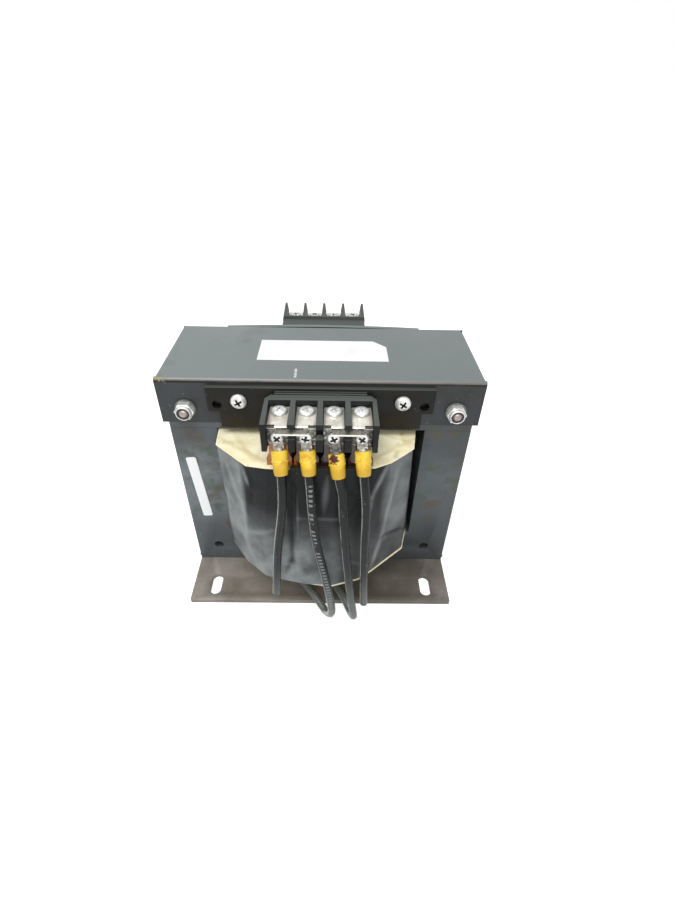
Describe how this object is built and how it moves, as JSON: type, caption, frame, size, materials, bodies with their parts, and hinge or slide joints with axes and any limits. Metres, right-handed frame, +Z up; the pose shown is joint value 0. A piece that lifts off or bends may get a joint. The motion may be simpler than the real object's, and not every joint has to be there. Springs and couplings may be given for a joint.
{
  "type": "chassis transformer",
  "caption": "Laminated chassis transformer on flat slotted feet, with a bulging wrapped coil, a folded steel cover, moulded barrier terminal blocks front and rear, and loose wire leads.",
  "frame": {"origin": "centre of the lamination stack on the underside of the feet", "axes": "+X to the right across the core, +Y from the front terminal block to the rear one, +Z up through the yokes"},
  "size_m": [0.1764, 0.1628, 0.1546],
  "materials": {
    "bare_steel": "bare rolled steel, dull and brownish",
    "varnished_core": "electrical steel under a thin dark varnish",
    "varnished_cover": "grey varnished sheet steel, satin",
    "varnished_bracket": "dark varnished sheet steel, satin",
    "zinc": "zinc-plated steel",
    "nylon": "dark nylon",
    "fibre_tube": "pressed fibre board",
    "copper": "enamelled copper wire",
    "insulation_paper": "cream insulation paper, creased",
    "black_wrap": "black film wrap, slightly glossy",
    "moulded_black": "moulded phenolic, satin",
    "tinned": "tin-plated metal",
    "dull_tin": "dull tin-plated metal",
    "amber_film": "amber film over copper, glossy",
    "yellow_vinyl": "yellow vinyl",
    "black_insulation": "black wire insulation",
    "white_label": "bare white label stock"
  },
  "bodies": {
    "root": {"front_foot": "bare_steel", "rear_foot": "bare_steel", "weld_beads": "bare_steel", "e_laminations": "varnished_core", "i_laminations": "varnished_core", "top_cover": "varnished_cover", "core_studs": "zinc", "stud_washers": "zinc", "lock_nuts": "zinc", "nut_inserts": "nylon", "front_bracket": "varnished_bracket", "rear_bracket": "varnished_bracket", "bracket_screws": "zinc", "coil_tube": "fibre_tube", "primary_winding": "copper", "winding_barrier": "insulation_paper", "secondary_winding": "copper", "coil_wrap": "black_wrap", "upper_end_paper": "insulation_paper", "lower_end_paper": "insulation_paper", "front_block": "moulded_black", "front_terminals": "tinned", "front_coil_screws": "zinc", "front_wire_screws": "zinc", "jumper_links": "dull_tin", "front_lead_outs": "amber_film", "rear_block": "moulded_black", "rear_terminals": "tinned", "rear_screws": "zinc", "rear_lead_outs": "amber_film", "ring_terminal_1": "dull_tin", "ring_terminal_2": "dull_tin", "ring_terminal_3": "dull_tin", "ring_terminal_4": "dull_tin", "sleeve_1": "yellow_vinyl", "sleeve_2": "yellow_vinyl", "sleeve_3": "yellow_vinyl", "sleeve_4": "yellow_vinyl", "lead_1": "black_insulation", "lead_2": "black_insulation", "lead_3": "black_insulation", "lead_4": "black_insulation", "top_label": "white_label", "side_label": "white_label"}
  },
  "joints": []
}
